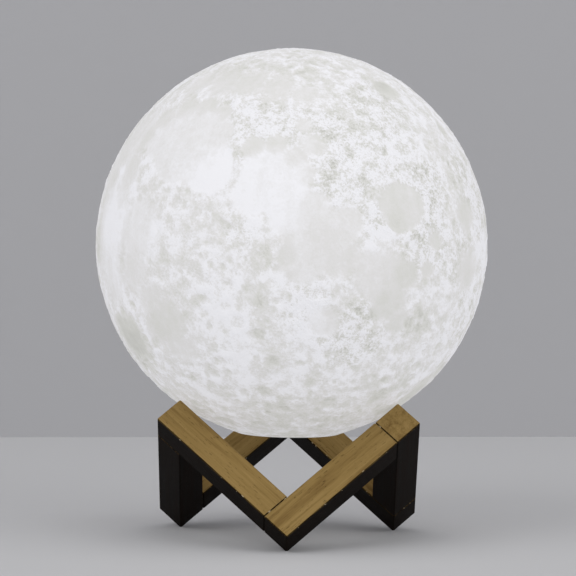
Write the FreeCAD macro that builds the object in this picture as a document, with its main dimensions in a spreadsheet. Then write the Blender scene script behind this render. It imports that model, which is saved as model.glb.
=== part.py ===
import FreeCAD, Part

import math
import os
import re
import Sketcher

# A moon lamp: a hollow globe with a plug-in light column, resting on a stand of six
# square wooden sticks.  The sticks follow six edges of a cube that stands on one corner.
# Millimetres, +Z up, origin on the floor under the centre of the globe, front towards -Y.

driving_sizes = {
    # wooden stand
    "stick_section": 12.2,      # side of the square stick
    "stick_length": 58.3,       # length of one stick, and the edge of the cube of centre lines
    "edge_break": 0.4,          # sanded edges of each stick
    "foot_flat": 0.6,           # how far each foot corner is sanded away
    "dowel_diameter": 5.0,
    "dowel_length": 14.0,
    "dowel_end_gap": 0.5,       # room for glue behind each end of a dowel
    "glue_gap": 0.05,           # glue line round a dowel
    "seat_gap": 0.25,           # globe to the stick corners that it rests on
    # globe
    "moon_diameter": 150.0,
    "shell_wall": 2.2,
    "neck_wall": 3.0,           # ring of the neck around the mouth
    "ledge_width": 4.6,         # ledge inside the mouth that the base is screwed to
    "ledge_thickness": 5.0,
    "pilot_spare": 0.8,         # depth of a pilot hole beyond the screw's tip
    "face_setback": 0.4,        # the base sits this far inside the rim of the mouth
    # base of the light column
    "base_thickness": 2.4,
    "flange_gap": 0.3,          # base flange to the wall of the mouth
    "ledge_gap": 0.6,           # column to the bore of the ledge
    "seal_thickness": 0.8,
    "seal_gap": 0.2,
    "cup_height": 11.0,         # shoulder of the cup, where the column's tube stands
    "spigot_height": 4.0,
    "spigot_wall": 1.6,
    "spigot_gap": 0.1,
    # touch ring and its contact
    "ring_width": 4.0,
    "ring_thickness": 1.0,
    "ring_gap": 0.15,
    "ring_inset": 1.5,          # inner edge of the ring inside the wall of the cup
    "contact_diameter": 1.0,
    "contact_collar": 1.6,
    "contact_gap": 0.1,
    "contact_inset": 0.6,       # centre of the contact outside the inner edge of the ring
    # power button and its switch
    "button_diameter": 5.8,
    "button_proud": 0.3,
    "button_travel": 0.6,
    "button_gap": 0.15,
    "button_offset": 5.5,       # towards +Y from the centre
    "button_lip": 0.7,          # the lip that keeps the button in
    "lip_thickness": 0.8,
    "lip_gap": 0.1,
    "stem_diameter": 3.0,
    "switch_side": 4.5,
    "switch_height": 1.6,
    "plunger_diameter": 2.4,
    "plunger_height": 0.5,
    # charging socket
    "socket_width": 8.94,
    "socket_height": 3.26,
    "socket_wall": 0.31,
    "socket_depth": 7.1,
    "socket_setback": 0.3,
    "socket_offset": 5.0,       # towards -Y from the centre
    "socket_gap": 0.12,
    "tongue_width": 6.7,
    "tongue_thickness": 0.7,
    "tongue_setback": 0.8,
    "tongue_root": 1.2,
    # charge light
    "pipe_diameter": 2.0,
    "pipe_collar": 3.0,
    "pipe_gap": 0.05,
    "pipe_spacing": 0.45,       # collar of the pipe to the side of the socket
    "pipe_light_gap": 0.2,
    "charge_led_length": 1.6,
    "charge_led_width": 0.8,
    "charge_led_height": 0.8,
    # control board
    "board_thickness": 1.2,
    "board_gap": 0.2,
    "post_diameter": 4.4,
    "post_inset": 0.6,          # side of a post to the wall of the cup
    "chip_length": 5.0,
    "chip_width": 4.0,
    "chip_height": 1.5,
    "small_chip_side": 3.0,
    "small_chip_height": 1.0,
    "chip_spacing": 2.8,        # each chip from the centre of the board
    # screws
    "screw_diameter": 1.9,
    "screw_head": 3.4,
    "pan_height": 1.2,
    "sunk_height": 1.0,
    "screw_tip": 0.8,
    "thread_gap": 0.03,
    "hole_gap": 0.15,
    "shell_screw_length": 6.4,
    "board_screw_length": 5.0,
    "tube_screw_length": 4.0,
    "tube_screw_recess": 0.15,
    "recess_span": 2.0,         # cross recess in a screw head
    "recess_width": 0.45,
    "recess_depth": 0.6,
    # battery
    "cell_diameter": 14.0,
    "cell_length": 49.0,
    "nub_diameter": 5.5,
    "nub_height": 1.0,
    "cell_lift": 4.4,           # cell above the control board
    "tab_thickness": 0.2,
    "tab_width": 5.0,
    "foam_thickness": 5.9,
    "foam_height": 8.0,
    "foam_gap": 0.1,
    "cell_gap": 0.05,
    "foam_drop": 2.0,           # upper foam ring below the top of the cell
    # tube of the column, light board and dome
    "tube_wall": 1.4,
    "deck_thickness": 1.6,
    "boss_diameter": 5.0,
    "boss_height": 3.0,
    "boss_inset": 0.6,
    "rim_height": 3.4,
    "light_board_gap": 0.2,
    "led_length": 3.5,
    "led_width": 2.8,
    "led_height": 1.9,
    "led_circle": 7.0,          # radius of the ring of light chips
    "dome_wall": 1.4,
    "dome_lip": 1.2,
    "skirt_wall": 1.0,
    "skirt_gap": 0.1,
    # leads
    "lead_diameter": 1.4,
    "lead_spread": 1.5,         # each lead of a pair from the middle plane
    "lead_inset": 1.2,          # leads inside the wall of the cup
    "lead_bend": 2.0,
    "lead_notch_gap": 0.3,
    "lead_overlap": 1.0,        # end of a lead before the axis of the cell
}

derived_sizes = {
    # stand, in the frame of the cube: reach and inner are the outer and inner faces of a stick
    "cube_reach": "(stick_length + stick_section) / 2",
    "cube_inner": "(stick_length - stick_section) / 2",
    "stick_axis": "stick_length / 2",
    "stand_lift": "(cube_reach + stick_section) / sqrt(3) - foot_flat",
    "foot_circle": "stick_length * sqrt(2 / 3)",
    "dowel_hole": "dowel_length / 2 + dowel_end_gap",
    # globe on the stand
    "moon_radius": "moon_diameter / 2",
    "seat_circle": "(stick_length - edge_break) * sqrt(2 / 3)",
    "seat_height": "stand_lift + (cube_reach + stick_section - 2 * edge_break) / sqrt(3)",
    "moon_centre": "seat_height + sqrt((moon_radius + seat_gap)^2 - seat_circle^2)",
    # radii of the column, from the cell outwards
    "cell_radius": "cell_diameter / 2",
    "tube_inner": "cell_radius + foam_thickness",
    "tube_outer": "tube_inner + tube_wall",
    "spigot_outer": "tube_inner - spigot_gap",
    "cup_inner": "spigot_outer - spigot_wall",
    "ledge_bore": "tube_outer + ledge_gap",
    "mouth_radius": "ledge_bore + ledge_width",
    "neck_radius": "mouth_radius + neck_wall",
    "flange_radius": "mouth_radius - flange_gap",
    "screw_circle": "ledge_bore + ledge_width / 2",
    "ring_inner": "cup_inner - ring_inset",
    "ring_outer": "ring_inner + ring_width",
    "pipe_across": "socket_width / 2 + pipe_spacing + pipe_collar / 2",
    "contact_place": "(ring_inner + contact_inset) / sqrt(2)",
    "board_radius": "cup_inner - board_gap",
    "post_circle": "cup_inner - post_inset - post_diameter / 2",
    "boss_circle": "tube_inner - boss_inset - boss_diameter / 2",
    "lead_circle": "cup_inner - lead_inset",
    "screw_radius": "screw_diameter / 2",
    "head_radius": "screw_head / 2",
    # heights above the outer face of the base
    "moon_rise": "sqrt(moon_radius^2 - mouth_radius^2) - face_setback",
    "face_height": "moon_centre - moon_rise",
    "ledge_bottom": "base_thickness + seal_thickness",
    "ledge_top": "ledge_bottom + ledge_thickness",
    "neck_bottom": "moon_rise - sqrt((moon_radius - shell_wall)^2 - neck_radius^2)",
    "board_bottom": "socket_setback + socket_depth",
    "board_top": "board_bottom + board_thickness",
    "switch_bottom": "board_bottom - switch_height",
    "stem_top": "switch_bottom - plunger_height - button_travel - lip_gap",
    "pipe_top": "board_bottom - charge_led_height - pipe_light_gap",
    "spigot_top": "cup_height + spigot_height",
    "tube_screw_height": "cup_height + spigot_height / 2",
    "cell_bottom": "board_top + cell_lift",
    "cell_top": "cell_bottom + cell_length",
    "nub_top": "cell_top + nub_height",
    "boss_bottom": "nub_top + tab_thickness + lead_diameter",
    "deck_bottom": "boss_bottom + boss_height",
    "deck_top": "deck_bottom + deck_thickness",
    "light_board_top": "deck_top + board_thickness",
    "rim_top": "deck_top + rim_height",
    "dome_base": "rim_top + dome_lip",
    "skirt_bottom": "light_board_top + light_board_gap",
    "skirt_outer": "tube_inner - skirt_gap",
    "dome_inner": "skirt_outer - skirt_wall",
    "dome_outer": "dome_inner + dome_wall",
}

# Three edges of the cube as they leave its lowest corner: right, left and towards the front.
across, back, rise = math.sqrt(1 / 2), math.sqrt(1 / 6), math.sqrt(1 / 3)
stand_turn = FreeCAD.Rotation(
    FreeCAD.Vector(across, back, rise),
    FreeCAD.Vector(-across, back, rise),
    FreeCAD.Vector(0, -2 * back, rise))
up = FreeCAD.Vector(0, 0, 1)

doc = FreeCAD.newDocument("moon_lamp")
sheet = doc.addObject("Spreadsheet::Sheet", "Sizes")
nodes = []


def fill_sheet():
    """Write every size to its own cell, with its name as the alias."""
    row = 1
    for sizes in (driving_sizes, derived_sizes):
        for name, content in sizes.items():
            text = content if isinstance(content, str) else repr(content)
            sheet.set("A%d" % row, name)
            sheet.set("B%d" % row, "=" + text if isinstance(content, str) else text)
            sheet.setAlias("B%d" % row, name)
            row += 1
    doc.recompute()


def cells(text):
    """Point each size named in a formula at its cell in the sheet."""
    def refer(word):
        name = word.group()
        return "Sizes." + name if name in driving_sizes or name in derived_sizes else name
    return re.sub(r"[a-z_]+", refer, text)


def value(text):
    result = sheet.evalExpression(cells(text))
    return float(getattr(result, "Value", result))


def bind(thing, path, text):
    thing.setExpression(path, cells(text))


def new_body(name, height="face_height"):
    """A sub-part whose own z starts at the outer face of the base, unless told otherwise."""
    body = doc.addObject("PartDesign::Body", name)
    body.Label = name
    bind(body, "Placement.Base.z", height)
    nodes.append(body)
    return body


def stand_body(name, turn):
    """A sub-part drawn in the cube's frame, turned about the stand's axis by thirds."""
    body = new_body(name, "stand_lift")
    third = FreeCAD.Rotation(up, 120 * turn)
    lift = FreeCAD.Vector(0, 0, value("stand_lift"))
    body.Placement = FreeCAD.Placement(lift, third.multiply(stand_turn))
    return body


def origin_part(body, role):
    return [part for part in body.Origin.OriginFeatures if part.Role == role][0]


def new_sketch(body, name, plane, offset="0"):
    """An empty sketch on one of the body's own planes, moved along that plane's normal."""
    sketch = body.newObject("Sketcher::SketchObject", body.Name + "_" + name)
    sketch.AttachmentSupport = [(origin_part(body, plane + "_Plane"), "")]
    sketch.MapMode = "FlatFace"
    bind(sketch, "AttachmentOffset.Base.z", offset)
    return sketch


def hold_point(sketch, edge, end, across_text, up_text):
    for kind, text in (("DistanceX", across_text), ("DistanceY", up_text)):
        number = sketch.addConstraint(Sketcher.Constraint(kind, -1, 1, edge, end, value(text)))
        bind(sketch, "Constraints[%d]" % number, text)


def hold_radius(sketch, edge, text):
    number = sketch.addConstraint(Sketcher.Constraint("Radius", edge, value(text)))
    bind(sketch, "Constraints[%d]" % number, text)


def draw_circle(sketch, across_text, up_text, radius):
    centre = FreeCAD.Vector(value(across_text), value(up_text), 0)
    edge = sketch.addGeometry(Part.Circle(centre, up, value(radius)), False)
    hold_point(sketch, edge, 3, across_text, up_text)
    hold_radius(sketch, edge, radius)


def draw_outline(sketch, corners, arcs=None, closed=True):
    """Join corners by lines, or by an arc (radius, centre) where arcs names the edge."""
    arcs = arcs or {}
    spots = [FreeCAD.Vector(value(x), value(y), 0) for x, y in corners]
    count = len(spots) if closed else len(spots) - 1
    ends = []
    for number in range(count):
        start, finish = spots[number], spots[(number + 1) % len(spots)]
        if number in arcs:
            radius, centre_x, centre_y = arcs[number]
            centre = FreeCAD.Vector(value(centre_x), value(centre_y), 0)
            first = math.atan2(start.y - centre.y, start.x - centre.x)
            last = math.atan2(finish.y - centre.y, finish.x - centre.x)
            clockwise = (last - first) % (2 * math.pi) > math.pi
            if clockwise:
                first, last = last, first
            circle = Part.Circle(centre, up, value(radius))
            edge = sketch.addGeometry(Part.ArcOfCircle(circle, first, last), False)
            ends.append((edge, 2, 1) if clockwise else (edge, 1, 2))
        else:
            edge = sketch.addGeometry(Part.LineSegment(start, finish), False)
            ends.append((edge, 1, 2))
    for number in range(count if closed else count - 1):
        edge, _, end = ends[number]
        following, begin, _ = ends[(number + 1) % count]
        sketch.addConstraint(Sketcher.Constraint("Coincident", edge, end, following, begin))
    for number, (edge, begin, end) in enumerate(ends):
        hold_point(sketch, edge, begin, *corners[number])
        if number in arcs:
            hold_radius(sketch, edge, arcs[number][0])
    if not closed:
        hold_point(sketch, ends[-1][0], ends[-1][2], *corners[-1])


def draw_rectangle(sketch, left, bottom, right, top):
    draw_outline(sketch, [(left, bottom), (right, bottom), (right, top), (left, top)])


def draw_block(sketch, centre_x, centre_y, width, depth):
    draw_rectangle(sketch, "%s - %s / 2" % (centre_x, width), "%s - %s / 2" % (centre_y, depth),
                   "%s + %s / 2" % (centre_x, width), "%s + %s / 2" % (centre_y, depth))


def draw_slot(sketch, centre_y, width, height, gap="0"):
    """A slot with round ends, along the sketch's first axis."""
    radius = "(%s / 2 + %s)" % (height, gap)
    reach = "(%s - %s) / 2" % (width, height)
    middle, half, size = value(centre_y), value(reach), value(radius)
    quarter = math.pi / 2
    edges = []
    for side in (1, -1):
        circle = Part.Circle(FreeCAD.Vector(side * half, middle, 0), up, size)
        start = -quarter if side > 0 else quarter
        edges.append(sketch.addGeometry(Part.ArcOfCircle(circle, start, start + math.pi), False))
        line = Part.LineSegment(FreeCAD.Vector(side * half, middle + side * size, 0),
                                FreeCAD.Vector(-side * half, middle + side * size, 0))
        edges.append(sketch.addGeometry(line, False))
    for number, edge in enumerate(edges):
        following = edges[(number + 1) % len(edges)]
        sketch.addConstraint(Sketcher.Constraint("Tangent", edge, 2, following, 1))
    sketch.addConstraint(Sketcher.Constraint("Equal", edges[0], edges[2]))
    hold_point(sketch, edges[0], 3, reach, centre_y)
    hold_point(sketch, edges[2], 3, "-" + reach, centre_y)
    hold_radius(sketch, edges[0], radius)


def extrude(body, sketch, length, kind="Pad", reverse=False):
    feature = body.newObject("PartDesign::" + kind, sketch.Name + "_" + kind.lower())
    feature.Profile = sketch
    feature.Reversed = reverse
    bind(feature, "Length", length)
    return feature


def turn(body, sketch, kind="Revolution", axis="V_Axis"):
    feature = body.newObject("PartDesign::" + kind, sketch.Name + "_" + kind.lower())
    feature.Profile = sketch
    feature.ReferenceAxis = (sketch, [axis])
    feature.Angle = 360
    return feature


def repeat(body, features, count, axis=None):
    pattern = body.newObject("PartDesign::PolarPattern", body.Name + "_" + features[0].Name)
    pattern.Originals = features
    pattern.Axis = axis or (origin_part(body, "Z_Axis"), [""])
    pattern.Angle = 360
    pattern.Occurrences = count
    body.Tip = pattern
    return pattern


# ---- stand --------------------------------------------------------------------------

def stick_blank(body, corners):
    """The square stick, sanded along its edges."""
    sketch = new_sketch(body, "blank", "XY", "cube_inner")
    draw_rectangle(sketch, *corners)
    pad = extrude(body, sketch, "stick_section")
    doc.recompute()
    chamfer = body.newObject("PartDesign::Chamfer", body.Name + "_edges")
    chamfer.Base = (pad, ["Edge1"])
    chamfer.UseAllEdges = True
    bind(chamfer, "Size", "edge_break")


def dowel_hole(body, name, plane, offset, place, outwards):
    sketch = new_sketch(body, name, plane, offset)
    draw_circle(sketch, *place, "dowel_diameter / 2 + glue_gap")
    extrude(body, sketch, "dowel_hole", "Pocket", reverse=outwards)


def build_rest_stick(name, third):
    """A stick whose through end is high and carries the globe on its inner top corner."""
    body = stand_body(name, third)
    stick_blank(body, ("-cube_reach", "-cube_inner", "-cube_inner", "cube_reach"))
    dowel_hole(body, "butt_hole", "XZ", "cube_inner", ("-stick_axis", "stick_axis"), False)
    dowel_hole(body, "side_hole", "XY", "cube_inner", ("-stick_axis", "stick_axis"), True)


def build_foot_stick(name, third):
    """A stick whose through end is low, with its lowest corner sanded flat as a foot."""
    body = stand_body(name, third)
    stick_blank(body, ("-cube_reach", "-cube_reach", "cube_inner", "-cube_inner"))
    dowel_hole(body, "butt_hole", "YZ", "cube_inner", ("-stick_axis", "stick_axis"), False)
    dowel_hole(body, "side_hole", "XZ", "cube_inner", ("-stick_axis", "stick_axis"), True)
    floor = new_sketch(body, "floor", "XY")
    floor.AttachmentOffset = FreeCAD.Placement(FreeCAD.Vector(), stand_turn.inverted())
    for direction in "xyz":
        bind(floor, "AttachmentOffset.Base." + direction, "-stand_lift / sqrt(3)")
    draw_circle(floor, "0", "-foot_circle", "foot_flat * 3")
    extrude(body, floor, "foot_flat * 2", "Pocket")


def build_dowels():
    """Two dowels at neighbouring corners, repeated round the stand."""
    body = stand_body("stick_dowels", 0)
    pins = []
    for name, plane, offset in (("low_pin", "XZ", "cube_inner - dowel_length / 2"),
                                ("high_pin", "XY", "cube_inner - dowel_length / 2")):
        sketch = new_sketch(body, name, plane, offset)
        draw_circle(sketch, "-stick_axis", "stick_axis", "dowel_diameter / 2")
        pins.append(extrude(body, sketch, "dowel_length"))
    axis = body.newObject("PartDesign::Line", "stand_axis")
    axis.Placement = FreeCAD.Placement(FreeCAD.Vector(), stand_turn.inverted())
    repeat(body, pins, 3, (axis, [""]))


# ---- globe --------------------------------------------------------------------------

def build_shell():
    body = new_body("moon_shell")
    profile = new_sketch(body, "profile", "XZ")
    inner_radius = "moon_radius - shell_wall"
    draw_outline(
        profile,
        [("mouth_radius", "-face_setback"), ("0", "moon_rise + moon_radius"),
         ("0", "moon_rise + " + inner_radius), ("neck_radius", "neck_bottom"),
         ("neck_radius", "ledge_top"), ("ledge_bore", "ledge_top"),
         ("ledge_bore", "ledge_bottom"), ("mouth_radius", "ledge_bottom")],
        {0: ("moon_radius", "0", "moon_rise"), 2: (inner_radius, "0", "moon_rise")})
    turn(body, profile)
    pilot = new_sketch(body, "pilot", "XY", "ledge_bottom")
    draw_circle(pilot, "screw_circle", "0", "screw_radius + thread_gap")
    hole = extrude(body, pilot, "shell_screw_length - ledge_bottom + pilot_spare",
                   "Pocket", reverse=True)
    repeat(body, [hole], 3)


def build_seal():
    body = new_body("seal_ring")
    ring = new_sketch(body, "ring", "XY", "base_thickness")
    draw_circle(ring, "0", "0", "flange_radius - seal_gap")
    draw_circle(ring, "0", "0", "ledge_bore")
    extrude(body, ring, "seal_thickness")
    screw = new_sketch(body, "screw", "XY", "base_thickness")
    draw_circle(screw, "screw_circle", "0", "screw_radius + hole_gap")
    hole = extrude(body, screw, "seal_thickness", "Pocket", reverse=True)
    repeat(body, [hole], 3)


# ---- screws -------------------------------------------------------------------------

def cross_recess(body, height, offset_x):
    """The driver's cross in a screw head, cut upwards or downwards from its face."""
    sketch = new_sketch(body, "recess", "XY", height)
    bind(sketch, "AttachmentOffset.Base.x", offset_x)
    span, width = "recess_span / 2", "recess_width / 2"
    draw_outline(sketch, [
        (width, width), (span, width), (span, "-" + width), (width, "-" + width),
        (width, "-" + span), ("-" + width, "-" + span), ("-" + width, "-" + width),
        ("-" + span, "-" + width), ("-" + span, width), ("-" + width, width),
        ("-" + width, span), (width, span)][::-1])
    return sketch


def build_shell_screws():
    """Sunk screws that pull the base against the ledge, driven from below."""
    body = new_body("shell_screws")
    profile = new_sketch(body, "profile", "XZ")
    bind(profile, "AttachmentOffset.Base.x", "screw_circle")
    draw_outline(profile, [
        ("0", "0"), ("head_radius", "0"), ("screw_radius", "sunk_height"),
        ("screw_radius", "shell_screw_length - screw_tip"), ("0", "shell_screw_length")])
    screw = turn(body, profile)
    recess = cross_recess(body, "0", "screw_circle")
    cross = extrude(body, recess, "recess_depth", "Pocket", reverse=True)
    repeat(body, [screw, cross], 3)


def build_pan_screws(name, seat, circle):
    """Two pan-headed screws with their heads up, at equal distances left and right."""
    body = new_body(name)
    profile = new_sketch(body, "profile", "XZ")
    bind(profile, "AttachmentOffset.Base.x", circle)
    tip = "%s - board_screw_length" % seat
    draw_outline(profile, [
        ("0", tip), ("screw_radius", tip + " + screw_tip"), ("screw_radius", seat),
        ("head_radius", seat), ("head_radius", seat + " + pan_height"),
        ("0", seat + " + pan_height")])
    screw = turn(body, profile)
    recess = cross_recess(body, seat + " + pan_height", circle)
    cross = extrude(body, recess, "recess_depth", "Pocket")
    repeat(body, [screw, cross], 2)


def side_screw_sketch(body, name):
    sketch = new_sketch(body, name, "XZ")
    bind(sketch, "AttachmentOffset.Base.y", "tube_screw_height")
    return sketch


def build_tube_screws():
    """Sunk screws from both sides that pin the tube to the cup's spigot."""
    body = new_body("tube_screws")
    profile = side_screw_sketch(body, "profile")
    head = "tube_outer - tube_screw_recess"
    draw_outline(profile, [
        (head + " - tube_screw_length", "0"), (head, "0"), (head, "head_radius"),
        (head + " - sunk_height", "screw_radius"),
        (head + " - tube_screw_length + screw_tip", "screw_radius")])
    screw = turn(body, profile, axis="H_Axis")
    repeat(body, [screw], 2)


# ---- base of the column -------------------------------------------------------------

def build_base():
    body = new_body("module_base")
    profile = new_sketch(body, "profile", "XZ")
    draw_outline(profile, [
        ("0", "0"), ("ring_inner - ring_gap", "0"), ("ring_inner - ring_gap", "ring_thickness"),
        ("ring_outer + ring_gap", "ring_thickness"), ("ring_outer + ring_gap", "0"),
        ("flange_radius", "0"), ("flange_radius", "base_thickness"),
        ("tube_outer", "base_thickness"), ("tube_outer", "cup_height"),
        ("spigot_outer", "cup_height"), ("spigot_outer", "spigot_top"),
        ("cup_inner", "spigot_top"), ("cup_inner", "base_thickness"), ("0", "base_thickness")])
    turn(body, profile)

    posts = new_sketch(body, "posts", "XY", "base_thickness")
    for side in ("", "-"):
        draw_circle(posts, side + "post_circle", "0", "post_diameter / 2")
    extrude(body, posts, "board_bottom - base_thickness")
    pilots = new_sketch(body, "pilots", "XY", "board_bottom")
    for side in ("", "-"):
        draw_circle(pilots, side + "post_circle", "0", "screw_radius + thread_gap")
    extrude(body, pilots, "board_bottom - base_thickness", "Pocket")

    floor_holes = new_sketch(body, "floor_holes", "XY")
    draw_slot(floor_holes, "-socket_offset", "socket_width", "socket_height", "socket_gap")
    draw_circle(floor_holes, "0", "button_offset", "button_diameter / 2 + button_gap")
    draw_circle(floor_holes, "pipe_across", "-socket_offset", "pipe_diameter / 2 + pipe_gap")
    draw_circle(floor_holes, "contact_place", "contact_place",
                "contact_diameter / 2 + contact_gap")
    extrude(body, floor_holes, "base_thickness", "Pocket", reverse=True)

    sink = new_sketch(body, "sink", "XZ")
    bind(sink, "AttachmentOffset.Base.x", "screw_circle")
    draw_outline(sink, [
        ("0", "0"), ("head_radius + thread_gap", "0"),
        ("screw_radius + hole_gap", "sunk_height"),
        ("screw_radius + hole_gap", "base_thickness"), ("0", "base_thickness")])
    repeat(body, [turn(body, sink, "Groove")], 3)

    side = side_screw_sketch(body, "side")
    draw_rectangle(side, "cup_inner - spigot_wall", "0", "tube_outer",
                   "screw_radius + thread_gap")
    repeat(body, [turn(body, side, "Groove", "H_Axis")], 2)


def build_touch_ring():
    body = new_body("touch_ring")
    ring = new_sketch(body, "ring", "XY")
    draw_circle(ring, "0", "0", "ring_outer")
    draw_circle(ring, "0", "0", "ring_inner")
    extrude(body, ring, "ring_thickness")


def build_touch_contact():
    """A sprung pin from the touch ring's back to the control board."""
    body = new_body("touch_contact")
    profile = new_sketch(body, "profile", "XZ", "-contact_place")
    bind(profile, "AttachmentOffset.Base.x", "contact_place")
    draw_outline(profile, [
        ("0", "ring_thickness"), ("contact_diameter / 2", "ring_thickness"),
        ("contact_diameter / 2", "base_thickness + lip_gap"),
        ("contact_collar / 2", "base_thickness + lip_gap"),
        ("contact_collar / 2", "board_bottom"), ("0", "board_bottom")])
    turn(body, profile)


def build_button():
    body = new_body("power_button")
    profile = new_sketch(body, "profile", "XZ", "-button_offset")
    lip_bottom = "base_thickness + lip_gap"
    lip_top = lip_bottom + " + lip_thickness"
    draw_outline(profile, [
        ("0", "-button_proud"), ("button_diameter / 2 - button_proud", "-button_proud"),
        ("button_diameter / 2", "0"), ("button_diameter / 2", lip_bottom),
        ("button_diameter / 2 + button_lip", lip_bottom),
        ("button_diameter / 2 + button_lip", lip_top),
        ("stem_diameter / 2", lip_top), ("stem_diameter / 2", "stem_top"), ("0", "stem_top")])
    turn(body, profile)


def build_switch():
    body = new_body("button_switch")
    case = new_sketch(body, "case", "XY", "switch_bottom")
    draw_block(case, "0", "button_offset", "switch_side", "switch_side")
    extrude(body, case, "switch_height")
    plunger = new_sketch(body, "plunger", "XY", "switch_bottom")
    draw_circle(plunger, "0", "button_offset", "plunger_diameter / 2")
    extrude(body, plunger, "plunger_height", reverse=True)


def build_socket():
    body = new_body("charging_socket")
    shell = new_sketch(body, "shell", "XY", "socket_setback")
    draw_slot(shell, "-socket_offset", "socket_width", "socket_height")
    draw_slot(shell, "-socket_offset", "socket_width", "socket_height", "-socket_wall")
    extrude(body, shell, "socket_depth")

    tongue = new_body("socket_tongue")
    root = new_sketch(tongue, "root", "XY", "board_bottom")
    draw_slot(root, "-socket_offset", "socket_width", "socket_height",
              "-(socket_wall + glue_gap)")
    extrude(tongue, root, "tongue_root", reverse=True)
    blade = new_sketch(tongue, "blade", "XY", "board_bottom")
    draw_block(blade, "0", "-socket_offset", "tongue_width", "tongue_thickness")
    extrude(tongue, blade, "socket_depth - tongue_setback", reverse=True)


def build_charge_light():
    pipe = new_body("light_pipe")
    profile = new_sketch(pipe, "profile", "XZ", "socket_offset")
    bind(profile, "AttachmentOffset.Base.x", "pipe_across")
    draw_outline(profile, [
        ("0", "0"), ("pipe_diameter / 2", "0"), ("pipe_diameter / 2", "base_thickness"),
        ("pipe_collar / 2", "base_thickness"),
        ("pipe_collar / 2", "base_thickness + lip_thickness"),
        ("pipe_diameter / 2", "base_thickness + lip_thickness"),
        ("pipe_diameter / 2", "pipe_top"), ("0", "pipe_top")])
    turn(pipe, profile)
    led = new_body("charge_led")
    case = new_sketch(led, "case", "XY", "board_bottom")
    draw_block(case, "pipe_across", "-socket_offset", "charge_led_length", "charge_led_width")
    extrude(led, case, "charge_led_height", reverse=True)


# ---- control board and battery ------------------------------------------------------

def build_round_board(name, bottom, radius, hole_circle):
    body = new_body(name)
    disc = new_sketch(body, "disc", "XY", bottom)
    draw_circle(disc, "0", "0", radius)
    for side in ("", "-"):
        draw_circle(disc, side + hole_circle, "0", "screw_radius + hole_gap")
    extrude(body, disc, "board_thickness")


def build_chips():
    body = new_body("controller_chips")
    for name, place, width, depth, height in (
            ("driver", "chip_spacing", "chip_length", "chip_width", "chip_height"),
            ("charger", "-chip_spacing", "small_chip_side", "small_chip_side",
             "small_chip_height")):
        sketch = new_sketch(body, name, "XY", "board_top")
        draw_block(sketch, "0", place, width, depth)
        extrude(body, sketch, height)


def build_cell():
    body = new_body("battery_cell")
    profile = new_sketch(body, "profile", "XZ")
    draw_outline(profile, [
        ("0", "cell_bottom"), ("cell_radius", "cell_bottom"), ("cell_radius", "cell_top"),
        ("nub_diameter / 2", "cell_top"), ("nub_diameter / 2", "nub_top"), ("0", "nub_top")])
    turn(body, profile)

    tabs = new_body("cell_tabs")
    for name, height, downwards in (("low", "cell_bottom", True), ("high", "nub_top", False)):
        sketch = new_sketch(tabs, name, "XY", height)
        draw_rectangle(sketch, "-tab_width / 2", "-cell_radius / 2", "tab_width / 2",
                       "cell_radius / 2")
        extrude(tabs, sketch, "tab_thickness", reverse=downwards)


def build_foam():
    """Foam rings round both ends of the cell, notched for the two pairs of leads."""
    body = new_body("foam_rings")
    notch = "(lead_spread + lead_diameter / 2 + lead_notch_gap)"
    floor = "(lead_circle - lead_diameter / 2 - lead_notch_gap)"
    for name, height in (("low", "spigot_top"), ("high", "cell_top - foam_drop - foam_height")):
        ring = new_sketch(body, name, "XY", height)
        draw_circle(ring, "0", "0", "tube_inner - foam_gap")
        draw_circle(ring, "0", "0", "cell_radius + cell_gap")
        extrude(body, ring, "foam_height")
    for name, sign in (("front_notch", "-"), ("back_notch", "")):
        cut = new_sketch(body, name, "XY")
        near, far = sign + floor, sign + "tube_inner"
        low, high = (far, near) if sign else (near, far)
        draw_rectangle(cut, "-" + notch, low, notch, high)
        extrude(body, cut, "cell_top", "Pocket", reverse=True)


def build_leads():
    """The cell's leads bend in over its two ends; the light board's leads run straight."""
    cell_leads = new_body("battery_leads")
    turn_in = "(-lead_circle + lead_bend)"
    for name, place, height in (
            ("minus", "-lead_spread", "cell_bottom - tab_thickness - lead_diameter / 2"),
            ("plus", "lead_spread", "nub_top + tab_thickness + lead_diameter / 2")):
        path = new_sketch(cell_leads, name + "_path", "YZ", place)
        draw_outline(path, [
            ("-lead_circle", "board_top"), ("-lead_circle", height + " - lead_bend"),
            (turn_in, height), ("-lead_overlap", height)],
            {1: ("lead_bend", turn_in, height + " - lead_bend")}, closed=False)
        section = new_sketch(cell_leads, name + "_section", "XY", "board_top")
        draw_circle(section, place, "-lead_circle", "lead_diameter / 2")
        pipe = cell_leads.newObject("PartDesign::AdditivePipe", name + "_lead")
        pipe.Profile = section
        pipe.Spine = path
    light_leads = new_body("light_leads")
    pair = new_sketch(light_leads, "pair", "XY", "board_top")
    for side in ("-lead_spread", "lead_spread"):
        draw_circle(pair, side, "lead_circle", "lead_diameter / 2")
    extrude(light_leads, pair, "deck_top - board_top")


# ---- tube, light board and dome -----------------------------------------------------

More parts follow.
